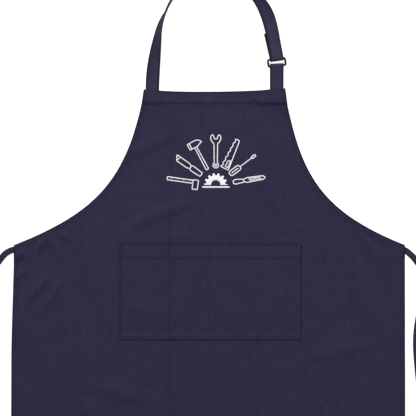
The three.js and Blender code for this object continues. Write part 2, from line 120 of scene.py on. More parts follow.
class Finish:
    """A material whose nodes are added one by one."""

    def __init__(self, name, roughness, **plain):
        self.material = bpy.data.materials.new(name)
        self.material.use_nodes = True
        self.tree = self.material.node_tree
        self.shader = self.tree.nodes["Principled BSDF"]
        self.shader.inputs["Roughness"].default_value = roughness
        for socket, value in plain.items():
            self.shader.inputs[socket.replace("_", " ")].default_value = value

    def node(self, kind, settings, sockets, output=0):
        made = self.tree.nodes.new(kind)
        for name, value in settings.items():
            setattr(made, name, value)
        for name, value in sockets.items():
            if isinstance(value, Signal):
                self.tree.links.new(value.socket, made.inputs[name])
            else:
                made.inputs[name].default_value = value
        return Signal(self, made.outputs[output])

    def maths(self, operation, first, second=0.0):
        return self.node("ShaderNodeMath", {"operation": operation}, {0: first, 1: second})

    def place(self, output="Object"):
        """Where a point lies on the object, or on the piece's own UV map."""
        return self.node("ShaderNodeTexCoord", {}, {}, output=output)

    def painted(self, layer):
        """A share that each corner of the mesh carries."""
        return self.node("ShaderNodeAttribute", {"attribute_name": layer}, {}, output="Fac")

    def waves(self, value, pitch):
        """Even waves from 0 to 1 along a value in metres."""
        return self.maths("SINE", value * (2 * math.pi / pitch)) * 0.5 + 0.5

    def noise(self, place, pitch, detail=2.0):
        """Cloudy noise from 0 to 1 whose patches are about a pitch across."""
        return self.node(
            "ShaderNodeTexNoise", {}, {"Vector": place, "Scale": 1 / pitch, "Detail": detail}
        )

    def blend(self, share, first, second):
        """A colour between two others."""
        return self.node(
            "ShaderNodeMix", {"data_type": "RGBA"}, {0: share, 6: first, 7: second}, output=2
        )

    def feed(self, socket, signal):
        self.tree.links.new(signal.socket, self.shader.inputs[socket])

    def bump(self, height, depth):
        """Relief of a height from 0 to 1, depth metres deep."""
        self.feed("Normal", self.node("ShaderNodeBump", {}, {"Height": height, "Distance": depth}))


table_finish = Finish("white_table", 0.8)
table_finish.shader.inputs["Base Color"].default_value = TABLE_GREY
table_finish.shader.inputs["Emission Color"].default_value = (1, 1, 1, 1)
table_finish.shader.inputs["Emission Strength"].default_value = TABLE_GLOW
bpy.ops.mesh.primitive_plane_add(size=TABLE_SIDE, location=(0, 0, -TABLE_DROP))
table = bpy.context.object
table.name = "table_top"
table.data.materials.append(table_finish.material)


# Apron body
# One panel of navy cotton twill. Its edges are turned under and stitched down, wide at the
# top of the bib, narrow round the armholes and sides. It still has its packing creases.
BIB_WIDTH = 271 * MM
WAIST_WIDTH = 751 * MM
ARMHOLE_DEPTH = 297 * MM
SKIRT_LENGTH = 573 * MM
SKIRT_FLARE = 2 * MM
BIB_SHIFT = 10.4 * MM
BIB_SAG = 3 * MM
BIB_PULL = 2.2 * MM
BIB_SLANT = 1.2 * MM
SKIRT_LEAN = 3.2 * MM
LEAN_HEIGHT = 230 * MM
CLOTH = 1.1 * MM
HEM_RISE = 0.75 * MM
BIB_HEM = 24 * MM
SIDE_HEM = 9 * MM
BOTTOM_HEM = 20 * MM
STITCH_INSET = 1.6 * MM
GROOVE_DEPTH = 0.35 * MM
GROOVE_HALF = 1.3 * MM
FOLD_REACH = 0.9 * MM
RIM_REACH = 4.4 * MM
GRID = 4.4 * MM
WELD = 0.01 * MM
CREASE_RISE = 2.2 * MM
CREASE_HALF = 13 * MM
HALF_WAIST = WAIST_WIDTH / 2

STRAP_WIDTH = 26 * MM
STRAP_THICK = 1.6 * MM
STRAP_TUCK = 22 * MM
LEFT_STRAP_INSET = 29.4 * MM
RIGHT_STRAP_INSET = 16.2 * MM
TIE_WIDTH = 12 * MM
TIE_TUCK = 22 * MM
GAP = 0.3 * MM

POCKET_WIDTH = 348 * MM
POCKET_HEIGHT = 184 * MM
POCKET_TOP = 1.5 * MM
POCKET_OFFSET = 3.4 * MM
POCKET_LEFT = POCKET_OFFSET - POCKET_WIDTH / 2
POCKET_RIGHT = POCKET_OFFSET + POCKET_WIDTH / 2
POCKET_BOTTOM = POCKET_TOP - POCKET_HEIGHT
POCKET_SPLIT = POCKET_LEFT + 0.493 * POCKET_WIDTH


def clamp(value):
    return min(1.0, max(0.0, value))


def smooth(value):
    return clamp(value) ** 2 * (3 - 2 * clamp(value))


def mix(first, second, share):
    return first + (second - first) * share


def plateau(distance, half, ramp):
    """1 within half of the centre, falling smoothly to 0 over the ramp."""
    return 1 - smooth((abs(distance) - half) / ramp)


def ripple(along, pitch, seed):
    """Uneven waves along a seam, from -1 to 1."""
    return noise.noise(Vector((along / pitch, seed * 7.3, 0.5))) * 1.9


def bib_shift(y):
    return BIB_SHIFT * (1 - (1 - clamp(y / ARMHOLE_DEPTH)) ** 2)


def curve_point(ends, share):
    """A point of a cubic curve given by its two ends and two handles."""
    a, b, c, d = ends
    back = 1 - share
    return (
        a * back**3 + b * (3 * share * back**2) + c * (3 * share**2 * back) + d * share**3
    )


# The armhole's curve: lengths as shares of its depth, leans in degrees
BIB_HANDLE, BIB_LEAN, WAIST_HANDLE, WAIST_SLOPE = 0.578, 9.46, 0.57, 21.43
bib_lean, waist_slope = math.radians(BIB_LEAN), math.radians(WAIST_SLOPE)
armhole = (
    Vector((BIB_WIDTH / 2, ARMHOLE_DEPTH)),
    Vector((
        BIB_WIDTH / 2 + ARMHOLE_DEPTH * BIB_HANDLE * math.sin(bib_lean),
        ARMHOLE_DEPTH * (1 - BIB_HANDLE * math.cos(bib_lean)),
    )),
    Vector((
        HALF_WAIST - ARMHOLE_DEPTH * WAIST_HANDLE * math.cos(waist_slope),
        ARMHOLE_DEPTH * WAIST_HANDLE * math.sin(waist_slope),
    )),
    Vector((HALF_WAIST, 0)),
)


def armhole_share(depth):
    """Where the armhole's curve is a depth below the top of the bib."""
    low, high = 0.0, 1.0
    for _ in range(40):
        middle = (low + high) / 2
        if ARMHOLE_DEPTH - curve_point(armhole, middle).y < depth:
            low = middle
        else:
            high = middle
    return low


def even(first, last, step):
    """Even steps from first to last, without the first."""
    count = max(1, math.ceil(abs(last - first) / step))
    return [mix(first, last, (i + 1) / count) for i in range(count)]


# Distances from a folded edge at which the cloth is modelled: round over the fold, and down
# into the line of stitches.
def edge_lines(hem):
    fold = [0, 0.25 * MM, 0.9 * MM, 1.8 * MM, 3.6 * MM]
    seam = [hem - 1.9 * MM, hem - 1.2 * MM, hem - 0.5 * MM, hem]
    return [*fold, *even(fold[-1], hem - 3 * MM, GRID), *seam, hem + 1 * MM, hem + 3 * MM]


# The side's points from the bottom hem to the top, with the way into the cloth at each. Level
# rows keep their height right across, and near the waist corner the way in turns smoothly.
side_rows = []
bottom_lines, top_lines = edge_lines(BOTTOM_HEM), edge_lines(BIB_HEM)
for up in bottom_lines:
    side_rows.append((up, Vector((HALF_WAIST + SKIRT_FLARE / 2, up - SKIRT_LENGTH)), True))
for up in even(bottom_lines[-1], SKIRT_LENGTH, GRID):
    flare = SKIRT_FLARE / 2 * (1 - up / SKIRT_LENGTH)
    side_rows.append((up, Vector((HALF_WAIST + flare, up - SKIRT_LENGTH)), False))
arm_end = armhole_share(top_lines[-1])
arm_points = [curve_point(armhole, mix(1, arm_end, i / 400)) for i in range(401)]
arm_length = sum((b - a).length for a, b in zip(arm_points, arm_points[1:]))
wanted = even(0, arm_length, GRID)
travelled = 0.0
for before, point in zip(arm_points, arm_points[1:]):
    travelled += (point - before).length
    if wanted and travelled >= wanted[0] - 1e-7:
        side_rows.append((SKIRT_LENGTH + travelled, point, False))
        wanted.pop(0)
for depth in reversed(top_lines[:-1]):
    point = curve_point(armhole, armhole_share(depth))
    side_rows.append((side_rows[-1][0] + (point - side_rows[-1][1]).length, point, True))

CORNER_BLEND = 15 * MM
half_turn = math.radians(90 - WAIST_SLOPE) / 2
mitre = Vector((-1, -math.tan(half_turn)))
ways_in = []
for index, (up, point, level) in enumerate(side_rows):
    before = side_rows[max(index - 1, 0)][1]
    after = side_rows[min(index + 1, len(side_rows) - 1)][1]
    along = (after - before).normalized()
    way = Vector((-along.y, along.x))
    if level:
        way = Vector((1 / way.x, 0))
    ways_in.append(way.lerp(mitre, 1 - smooth(abs(up - SKIRT_LENGTH) / CORNER_BLEND)))

# Where the straps are sewn under the bib, and how high the cloth rides over them
bib_left = BIB_SHIFT - BIB_WIDTH / 2
bib_right = BIB_SHIFT + BIB_WIDTH / 2
left_strap_x = bib_left + LEFT_STRAP_INSET - STRAP_WIDTH / 2
right_strap_x = bib_right - RIGHT_STRAP_INSET
layer_height = STRAP_THICK + GAP + 0.1 * MM
tie_y = -TIE_WIDTH * 0.75

# Packing creases: place across in shares of half the waist width, rise in shares of
# CREASE_RISE, how far up the armhole they reach, and the strength of their painted shade line
CREASES = [
    (-0.652, 0.8, 0.2, 0.4), (-0.2, 1.0, 0.98, 0.62), (0.256, 0.7, 0.98, 0.28),
    (0.73, 0.8, 0.12, 0.42),
]

# Soft wrinkles: x, y, length and width in shares of half the waist width, turn in degrees
# and rise in millimetres
WRINKLES = [
    (-0.33, 0.5, 0.2, 0.05, 28, 3.1), (-0.26, 0.16, 0.26, 0.05, 22, 3.6),
    (0.3, 0.28, 0.2, 0.06, -58, 2.2), (0.02, 0.6, 0.13, 0.04, 84, 2.0),
    (-0.2, 0.62, 0.12, 0.035, 96, 1.7), (-0.975, -0.055, 0.06, 0.026, 48, 3.1),
    (-0.97, -0.155, 0.07, 0.024, 52, 3.4), (-0.885, -0.23, 0.13, 0.034, 56, 5.3),
    (-0.8, -0.26, 0.1, 0.028, 66, 4.7), (-0.865, -0.005, 0.07, 0.026, 70, 4.5),
    (-0.79, -0.01, 0.12, 0.034, -62, 5.5), (-0.74, 0.045, 0.07, 0.026, -40, 2.8),
    (0.86, -0.06, 0.16, 0.036, -58, 4.2), (0.95, -0.26, 0.14, 0.035, -86, 2.5),
    (0.62, -0.55, 0.3, 0.06, 12, 2.8), (-0.45, -0.75, 0.32, 0.06, -14, 2.8),
    (0.15, -0.95, 0.3, 0.07, 6, 2.2), (0.235, 0.758, 0.055, 0.022, -58, 3.4),
    (0.26, 0.742, 0.04, 0.02, -40, 2.4), (-0.18, 0.035, 0.16, 0.03, 8, 2.1),
]


def beside_pocket(x, y):
    out_x = max(POCKET_LEFT - x, x - POCKET_RIGHT, 0)
    out_y = max(POCKET_BOTTOM - y, y - POCKET_TOP, 0)
    return math.hypot(out_x, out_y)


def crease_height(x, y):
    height = 0.0
    for at, rise, top, _ in CREASES:
        away = abs(x - at * HALF_WAIST) / CREASE_HALF
        if away < 1:
            fade = 1 - smooth((y / ARMHOLE_DEPTH - top) / 0.2 + 1)
            height += rise * CREASE_RISE * (1 - away) ** 2.2 * fade
    return height


def wrinkle_height(x, y):
    height = 0.0
    for at_x, at_y, length, width, degrees, rise in WRINKLES:
        turn = math.radians(degrees)
        dx, dy = x - at_x * HALF_WAIST, y - at_y * HALF_WAIST
        along = (dx * math.cos(turn) + dy * math.sin(turn)) / (length * HALF_WAIST)
        across = (dy * math.cos(turn) - dx * math.sin(turn)) / (width * HALF_WAIST)
        bend = across + 0.5 * along**2
        height += rise * MM * max(0.0, 1 - along**2 - bend**2) ** 2
    return height


def laid_out(x, y):
    """Where a place on the cut panel lies on the table. The bib's cloth hangs a little between
    the straps, which pull its corners up, and the left of the skirt leans out."""
    across = max(-1.0, min(1.0, (x - bib_shift(y)) / (BIB_WIDTH / 2)))
    top = smooth((y - ARMHOLE_DEPTH + BIB_HEM) / BIB_HEM)
    level = smooth((y / ARMHOLE_DEPTH - 0.75) / 0.17) * (1 - top)
    sag = BIB_SAG * mix(1 - across**2, 1, level) * smooth(y / ARMHOLE_DEPTH - 0.05)
    pull = top * (BIB_PULL * abs(across) ** 3 + BIB_SLANT * across)
    lean = SKIRT_LEAN * mix(0.5, -1, smooth(-y / LEAN_HEIGHT)) * (1 - smooth(y / (40 * MM)))
    return x + lean * clamp(-x / HALF_WAIST) ** 2, y - sag + pull


def lift_height(x, y):
    """How far the panel rides over the ends of the straps and ties sewn under it."""
    under_bib = plateau(ARMHOLE_DEPTH - y, STRAP_TUCK - 1.5 * MM, 7 * MM)
    over_strap = plateau(x - left_strap_x, STRAP_WIDTH / 2 + 2 * MM, 14 * MM)
    over_double = plateau(x - right_strap_x, STRAP_WIDTH / 2 + 3 * MM, 18 * MM)
    over_tie = plateau(
        HALF_WAIST - TIE_TUCK / 2 - abs(x), TIE_TUCK / 2 + 4 * MM, 18 * MM
    ) * plateau(y - tie_y, TIE_WIDTH / 2 + 3 * MM, 14 * MM)
    return (
        under_bib * over_strap * (STRAP_THICK + GAP)
        + under_bib * over_double * (layer_height + STRAP_THICK + GAP)
        + over_tie * (STRAP_THICK + GAP)
    )


def drape(x, y):
    """Slow unevenness of cloth that has been smoothed out by hand."""
    slow = noise.noise(Vector((x / 0.13, y / 0.17, 3.1)))
    quick = noise.noise(Vector((x / 0.035, y / 0.05, 8.4)))
    return (0.6 + 1.1 * slow + 0.55 * quick) * MM


def relief(x, y):
    """Height of the panel's underside above the table."""
    clear = smooth((beside_pocket(x, y) - 5 * MM) / (20 * MM))
    free = crease_height(x, y) + wrinkle_height(x, y) + max(0.0, drape(x, y))
    return clear * free + lift_height(x, y)


def fold_over(inside):
    """Share of the full thickness at a distance inside a folded edge."""
    return min(1.0, 0.5 + 0.5 * math.sqrt(clamp(inside / FOLD_REACH)))


def stitch_groove(distance):
    return GROOVE_DEPTH * max(0.0, 1 - (distance / GROOVE_HALF) ** 2)


def painted_shade(inside, groove, depth=0.3, edge=1.0, reach=2.1 * MM):
    """Painted shade, from 0 to 1, that darkens the cloth's colour over a folded edge and in a line
    of stitches.
    """
    return max(edge * (1 - smooth(inside / reach)), depth * groove / GROOVE_DEPTH)


def hem_profile(inside, hem):
    """How far a hem stands up at a distance inside the edge, with its line of stitches."""
    rise = HEM_RISE * plateau(inside, hem - 0.5 * MM, 1.2 * MM)
    return rise - stitch_groove(inside - (hem - STITCH_INSET))


across_lines = edge_lines(SIDE_HEM)
INNER = across_lines[-1]
inner_count = math.ceil((WAIST_WIDTH - 2 * INNER) / GRID)
column_total = 2 * len(across_lines) + inner_count - 1


def panel_place(column, row):
    """The flat place of a row and column of the panel, and its distance from its side."""
    _, point, _ = side_rows[row]
    last = column_total - 1
    nearest = min(column, last - column)
    if nearest < len(across_lines):
        inside = across_lines[nearest]
        flat = point + ways_in[row] * inside
        x = flat.x if column > nearest else -flat.x
    else:
        inside = 1.0
        flat = point + ways_in[row] * INNER
        x = mix(-flat.x, flat.x, (column - len(across_lines) + 1) / inner_count)
    return x + bib_shift(flat.y), flat.y, inside


def panel_levels(column, row):
    """The place of a corner of the panel's grid on top and underneath, its painted shade and how
    near it is to a seam."""
    x, y, inside = panel_place(column, row)
    up, point, _ = side_rows[row]
    from_top = ARMHOLE_DEPTH - y if row >= len(side_rows) - len(top_lines) else 1.0
    from_bottom = y + SKIRT_LENGTH if row < len(bottom_lines) else 1.0
    edge = min(inside, from_top, from_bottom)
    # Puckers beside the seams, which fade away from them and are calm at the waist's corners
    bib_line = ARMHOLE_DEPTH - BIB_HEM + STITCH_INSET
    by_bib = plateau(y - bib_line, 1 * MM, 26 * MM if y < bib_line else 12 * MM)
    by_bottom = plateau(y + SKIRT_LENGTH - BOTTOM_HEM, 1 * MM, 24 * MM)
    by_pocket = plateau(beside_pocket(x, y) - 5 * MM, 1 * MM, 10 * MM)
    if inside < SIDE_HEM + 4 * MM:
        by_side = plateau(inside - SIDE_HEM, 1 * MM, 8 * MM)
    else:
        away = abs(point.x - abs(x - bib_shift(y))) * abs(ways_in[row].normalized().x)
        by_side = 1 - smooth((away - SIDE_HEM) / (14 * MM))
    by_side *= smooth((abs(up - SKIRT_LENGTH) - CORNER_BLEND) / (20 * MM))
    hand = 1 if x > 0 else -1
    seams = [
        (by_bib, 0.8, ripple(x, 12 * MM, 1.0), 0.7),
        (by_side, 0.35, ripple(up, 10 * MM, 2.0 + hand), 0.35),
        (by_bottom, 0.5, ripple(x, 17 * MM, 5.0), 0.5),
        (by_pocket, 0.3, ripple(x + y, 9 * MM, 7.0), 0.35),
    ]
    pucker = sum(near * rise * MM * (0.5 + wave) for near, rise, wave, _ in seams)
    seam = max(near * share for near, _, _, share in seams)
    # Hems and the fold over the edge
    hems = [(inside, SIDE_HEM), (from_top, BIB_HEM), (from_bottom, BOTTOM_HEM)]
    rise = max(0.0, *[hem_profile(away, hem) for away, hem in hems])
    groove = max(stitch_groove(away - hem + STITCH_INSET) for away, hem in hems)
    thick, over = CLOTH + rise - groove, fold_over(edge)
    base = relief(x, y) + max(0.0, pucker)
    below = 0.25 * MM if over == 1 and rise <= 0.2 * MM else 0.0
    x, y = laid_out(x, y)
    top, under = (x, y, base + thick * over), (x, y, base + thick * (1 - over) + below)
    # Painted shade over the folded edges and in the stitch grooves: deeper along the bib hem's
    # stitches, and mostly left off the bib's top edge where the straps lie over it
    depth = 0.6 if from_top < BIB_HEM + 2 * MM else 0.25
    strap_places = left_strap_x, right_strap_x
    over_straps = max(plateau(x - at, STRAP_WIDTH / 2, 2 * MM) for at in strap_places)
    free = 1 - 0.85 * over_straps if from_top < BIB_HEM / 2 else 1.0
    return top, under, painted_shade(edge, groove, depth, free, RIM_REACH), seam


def closed_sheet(name, columns, rows, levels, material, cloth_map=None):
    """A sheet of cloth with a top and an underside, welded along its edges. levels gives both,
    the painted shade and the nearness of a seam at a column and row, cloth_map its place on
    the cut cloth in metres."""
    shape = bmesh.new()
    cloth = shape.loops.layers.uv.new("cloth") if cloth_map else None
    # Each corner carries its share of painted shade, which darkens the cloth's colour, and its
    # nearness to a seam
    layers = [shape.verts.layers.float.new(layer) for layer in ("painted_shade", "seam")]
    for side in range(2):
        made = bmesh.ops.create_grid(
            shape, x_segments=columns - 1, y_segments=rows - 1, size=0.5
        )
        for corner in made["verts"]:
            column = round((corner.co.x + 0.5) * (columns - 1))
            row = round((corner.co.y + 0.5) * (rows - 1))
            heights = levels(column, row)
            corner.co = heights[side]
            for layer, share in zip(layers, heights[2:]):
                corner[layer] = share
            for loop in corner.link_loops if cloth_map else ():
                loop[cloth].uv = cloth_map(column, row)
        if side == 1:
            turned = {face for corner in made["verts"] for face in corner.link_faces}
            bmesh.ops.reverse_faces(shape, faces=list(turned))
    bmesh.ops.remove_doubles(shape, verts=shape.verts, dist=WELD)
    return finished(name, shape, material)


def finished(name, shape, material):
    """Makes a piece from a bmesh, with its material, and puts it in the scene."""
    mesh = bpy.data.meshes.new(name)
    for face in shape.faces:
        face.smooth = True
    shape.to_mesh(mesh)
    shape.free()
    mesh.materials.append(material)
    thing = bpy.data.objects.new(name, mesh)
    bpy.context.scene.collection.objects.link(thing)
    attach(thing, "root")
    return thing


def twill(name, dark, light, flat_cloth=True, creases=()):
    """Cotton twill: slanting ribs over fine threads, uneven in tone. Cloth that lies flat is
    woven along the object's own axes, straps along their own length. creases are upright
    lines of painted shade, each with its share of half the waist width and its strength."""
    finish = Finish(name, 0.9, Specular_IOR_Level=0.12)
    place = finish.place("Object" if flat_cloth else "UV")
    x = finish.node("ShaderNodeSeparateXYZ", {}, {"Vector": place}, output="X")
    y = finish.node("ShaderNodeSeparateXYZ", {}, {"Vector": place}, output="Y")
    wander = finish.noise(place, 9 * MM) * (0.4775 * MM)
    ribs = finish.waves(x * 0.86 + y * 0.5 + wander, 1.25 * MM)
    threads = finish.waves(y, 0.75 * MM)
    slub = finish.noise(place, 2.6 * MM, 3.0)
    cloud = finish.noise(place, 45 * MM, 4.0)
    yarns = []
    for stretch, pitch in (((0.2, 1, 1), 3.4 * MM), ((1, 0.16, 1), 3.8 * MM)):
        drawn = finish.node(
            "ShaderNodeVectorMath", {"operation": "MULTIPLY"}, {0: place, 1: stretch}
        )
        yarns.append(finish.noise(drawn, pitch))
    weave = ribs * 0.62 + threads * 0.18 + slub * 0.2
    uneven = (yarns[0] + yarns[1] + slub + cloud * 0.5 - 1.75) * 0.62
    cloth = finish.blend(weave * 0.3 + 0.35 + uneven, (*dark, 1), (*light, 1))
    # Painted shade: thin dark lines along the packing creases
    crease = 0.0
    for at, strength in creases:
        wobble = finish.noise(place, 30 * MM) * (2 * MM)
        away = finish.maths("ABSOLUTE", x - (at * HALF_WAIST + 1 * MM) + wobble)
        near = finish.maths("MAXIMUM", 1 - away * (1 / (1.6 * MM)), 0.0)
        crease = near * strength * finish.noise(place, 18 * MM) + crease
    # Painted shade: the shade share painted on each corner of the mesh and the crease lines darken
    # the colour towards a deeper navy
    shaded = tuple(part * 0.18 for part in dark)
    shade = finish.maths("MINIMUM", finish.painted("painted_shade") + crease, 1.0)
    finish.feed("Base Color", finish.blend(shade, cloth, (*shaded, 1)))
    finish.feed("Roughness", 0.95 - weave * 0.14)
    crinkle = finish.noise(place, 6 * MM, 1.0) * finish.painted("seam")
    finish.bump(weave * 0.12 + crinkle - crease * 0.3, 1.8 * MM)
    return finish.material


panel_twill = twill(
    "navy_twill", (0.0167, 0.0154, 0.0392), (0.0334, 0.0304, 0.0660),
    creases=[(at, line) for at, _, _, line in CREASES],
)
panel = closed_sheet(
    "panel", column_total, len(side_rows), panel_levels, panel_twill
)
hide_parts("apron_body")


# Print on the bib
# A plain white screen print of hand tools that stand in a fan over half a cog wheel.
PRINT_CENTRE = (13 * MM, 115 * MM)
LINE_WIDTH = 1.9 * MM
PRINT_RISE = 0.22 * MM
INK = 0.1 * MM
COG_TEETH = 7
COG_STEPS = COG_TEETH * 8
COG_HUB, COG_ROOT, COG_TIP = 9 * MM, 18.5 * MM, 22.5 * MM

panel_tree = BVHTree.FromObject(panel, bpy.context.evaluated_depsgraph_get())


def laid_on(tree, x, y):
    """The point of a piece's upper face over a place on the table, and the way it faces."""
    point, normal, _, _ = tree.ray_cast(Vector((x, y, 0.2)), Vector((0, 0, -1)))
    return (point, normal) if point else (Vector((x, y, CLOTH)), Vector((0, 0, 1)))


def resampled(points, step):
    """The same line with its points no more than a step apart."""
    line = [points[0]]
    for before, after in zip(points, points[1:]):
        count = max(1, math.ceil((after - before).length / step))
        line += [before.lerp(after, (i + 1) / count) for i in range(count)]
    return line


def arc(centre, radius, first, last, steps=10):
    angles = [math.radians(mix(first, last, i / steps)) for i in range(steps + 1)]
    return [(centre[0] + radius * math.cos(a), centre[1] + radius * math.sin(a)) for a in angles]


def softened(points, radius=1.3 * MM):
    """The same flat line with its corners rounded off."""
    line = [Vector(point) for point in points]
    closed = (line[0] - line[-1]).length < WELD
    if closed:
        line = [line[-2], *line, line[1]]
    rounded = [] if closed else [line[0]]
    for before, corner, after in zip(line, line[1:], line[2:]):
        back, ahead = before - corner, after - corner
        first = corner + back.normalized() * min(radius, back.length / 3)
        last = corner + ahead.normalized() * min(radius, ahead.length / 3)
        rounded += [first, (first + last + corner * 2) / 4, last]
    if not closed:
        return [*rounded, line[-1]]
    return rounded[:-3] + [rounded[0]]


def stroke(shape, points, width):
    """A printed line along flat points, mitred at its corners."""
    line = resampled(softened(points), 1.6 * MM)
    closed = (line[0] - line[-1]).length < WELD
    ends = []
    for i, point in enumerate(line):
        before = line[i - 1] if i else (line[-2] if closed else point)
        after = line[i + 1] if i + 1 < len(line) else (line[1] if closed else point)
        first = (point - before).normalized() if (point - before).length else None
        second = (after - point).normalized() if (after - point).length else None
        first, second = first or second, second or first
        middle = (first + second).normalized() if (first + second).length > 0.1 else first
        side = Vector((-middle.y, middle.x)) / max(0.5, middle.dot(first))
        ends.append((point + side * width / 2, point - side * width / 2))
    made = bmesh.ops.create_grid(shape, x_segments=len(ends) - 1, y_segments=2, size=0.5)
    for corner in made["verts"]:
        first, last = ends[round((corner.co.x + 0.5) * (len(ends) - 1))]
        corner.co = (*first.lerp(last, 0.5 - corner.co.y), 0)


def tool_place(angle, along, across):
    """A place on a tool that points away from the middle of the fan."""
    turn = math.radians(angle)
    return (
        PRINT_CENTRE[0] + along * MM * math.cos(turn) + across * MM * math.sin(turn),
        PRINT_CENTRE[1] + along * MM * math.sin(turn) - across * MM * math.cos(turn),
    )


# Outlines of the tools, in millimetres from the middle of the fan outwards and across
SCREWDRIVER = [
    [(34, -3), (37, -5), (55, -5), (58, -3), (58, 3), (55, 5), (37, 5), (34, 3), (34, -3)],
    [(38, 0), (54, 0)],
    [(58, 0), (88, 0)],
    [(86, -2), (95, -2), (95, 2), (86, 2), (86, -2)],
]
CHISEL = [
    [(34, -4), (56, -5), (59, -3), (59, 3), (56, 5), (34, 4), (34, -4)],
    [(59, -2.5), (64, -5), (88, -5), (94, 5), (64, 5), (59, 2.5)],
    [(88, -5), (86, 5)],
]
JAW = [(88, -2.5), (96, -5), (95, -9), (88, -10), (81, -6), (79, -3.5)]
SPANNER = [
    [*JAW, (42, -3), *[(38 + x, y) for x, y in arc((0, 0), 5.5, -40, -320, 12)], (42, 3),
     *[(x, -y) for x, y in reversed(JAW)], (88, -2.5)],
    arc((38, 0), 2, 0, 360, 10),
]
HAMMER = [
    [(34, -2.6), (82, -2), (82, 2), (34, 2.6), (34, -2.6)],
    [(82, -12), (94, -12), (94, 6), (91, 12), (86, 15), (84, 8), (82, 5), (82, -12)],
    [(82, -8), (94, -8)],
]
teeth = [(36 + i * 5, -7 + (i % 2) * 2.4 + i * 0.2) for i in range(13)]
SAW = [
    [(36, 9), (96, 4), (96, -4.6), *reversed(teeth), (36, 9)],
    [(52, 1), (54, 5.5), (40, 6.5), (40, 0.5), (52, 1)],
]
TRY_SQUARE = [
    [(34, 4), (44, 4), (44, -14), (34, -14), (34, 4)],
    [(44, -3), (94, -3), (94, 3), (44, 3)],
    *[[(50 + i * 6, 3), (50 + i * 6, 0.4 + (i % 2) * 1.2)] for i in range(7)],
]
FILE = [
    [(34, -2.5), (38, -4.5), (54, -3), (54, 3), (38, 4.5), (34, 2.5), (34, -2.5)],
    [(54, -2), (60, -4.5), (92, -3.5), (96, 0), (92, 3.5), (60, 4.5), (54, 2)],
    *[[(64 + i * 4, -3.2), (68 + i * 4, 3.2)] for i in range(6)],
]
FAN = [(172, TRY_SQUARE), (145, CHISEL), (118, HAMMER), (90, SPANNER), (64, SAW),
       (37, SCREWDRIVER), (9, FILE)]

drawing = bmesh.new()
for angle, outline in FAN:
    for line in outline:
        stroke(drawing, [tool_place(angle, *point) for point in line], LINE_WIDTH)

# Half a cog wheel, solid white, between its hub and its teeth, with a line under it
cog = bmesh.ops.create_grid(drawing, x_segments=COG_STEPS, y_segments=4, size=0.5)
for corner in cog["verts"]:
    column = round((corner.co.x + 0.5) * COG_STEPS)
    rim = COG_TIP if column % 8 < 3 or column % 8 == 7 else COG_ROOT
    radius = mix(COG_HUB, rim, corner.co.y + 0.5)
    turn = math.pi * (1 - column / COG_STEPS)
    corner.co = (
        PRINT_CENTRE[0] + radius * math.cos(turn), PRINT_CENTRE[1] + radius * math.sin(turn), 0
    )
stroke(drawing, [tool_place(0, x, 4) for x in (-26, 26)], 3 * MM)
for corner in drawing.verts:
    corner.co = laid_on(panel_tree, corner.co.x, corner.co.y)[0] + Vector((0, 0, PRINT_RISE))
bmesh.ops.recalc_face_normals(drawing, faces=drawing.faces)
for face in drawing.faces:
    if face.normal.z < 0:
        face.normal_flip()

ink = Finish("white_ink", 0.7, Specular_IOR_Level=0.3)
ink_grain = ink.noise(ink.place(), 1.1 * MM)
ink.feed("Base Color", ink.blend(ink_grain, (0.74, 0.75, 0.77, 1), (0.93, 0.93, 0.94, 1)))
ink.bump(ink_grain, 0.08 * MM)
bib_print = finished("bib_print", drawing, ink.material)
bib_print.modifiers.new("ink", "SOLIDIFY").thickness = INK


# Patch pocket
# A patch of the same twill with a wide hem along its mouth. It is sewn to the panel with two
# lines of stitches round three sides, and one down the middle that makes two compartments.
POCKET_HEM = 26 * MM
POCKET_EDGE_HEM = 10 * MM
POCKET_GAPE = 4.6 * MM
POCKET_STITCHES = (2 * MM, 5.4 * MM)
SPLIT_STITCHES = 1.5 * MM
PATCH_SEAT = CLOTH + 0.1 * MM

groove_lines = [0.25, 0.9, 1.4, 2.0, 2.6, 4.0, 5.4, 6.0, 6.6, 9.5, 10.0, 11.0, 13.0]
rim_lines = [0, *[line * MM for line in groove_lines]]
mouth_lines = edge_lines(POCKET_HEM)
split_lines = [-13, -9, -6, -3.4, -2.4, -1.5, -0.8, 0, 0.8, 1.5, 2.4, 3.4, 6, 9, 13]

pocket_columns = [POCKET_LEFT + line for line in rim_lines]
pocket_columns += even(pocket_columns[-1], POCKET_SPLIT - 13 * MM, GRID)[:-1]
pocket_columns += [POCKET_SPLIT + line * MM for line in split_lines]
pocket_columns += even(pocket_columns[-1], POCKET_RIGHT - rim_lines[-1], GRID)[:-1]
pocket_columns += [POCKET_RIGHT - line for line in reversed(rim_lines)]
pocket_rows = [POCKET_BOTTOM + line for line in rim_lines]
pocket_rows += even(pocket_rows[-1], POCKET_TOP - mouth_lines[-1], GRID)[:-1]
pocket_rows += [POCKET_TOP - line for line in reversed(mouth_lines)]


